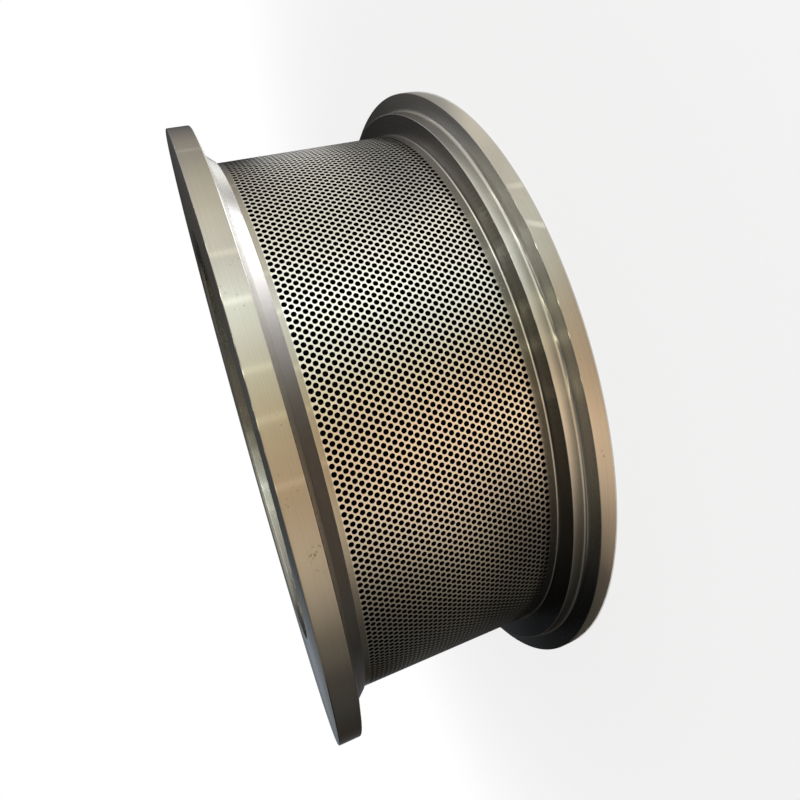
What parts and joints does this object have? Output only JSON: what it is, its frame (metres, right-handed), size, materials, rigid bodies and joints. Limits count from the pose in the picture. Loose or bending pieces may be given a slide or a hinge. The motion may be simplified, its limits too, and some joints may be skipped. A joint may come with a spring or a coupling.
{
  "type": "pellet mill ring die",
  "caption": "Heavy turned steel ring with a wide bore, a drilled band of fine radial holes round its wall, a stepped flange at one end and a clamping rim at the other.",
  "frame": {"origin": "centre of the flange's end face, which the ring stands on", "axes": "+Z along the bore axis, from the flange towards the clamping rim"},
  "size_m": [0.611, 0.611, 0.2328],
  "materials": {
    "turned_steel": "bright turned steel with fine lathe lines round the ring"
  },
  "bodies": {
    "root": {"ring_die": "turned_steel"}
  },
  "joints": []
}
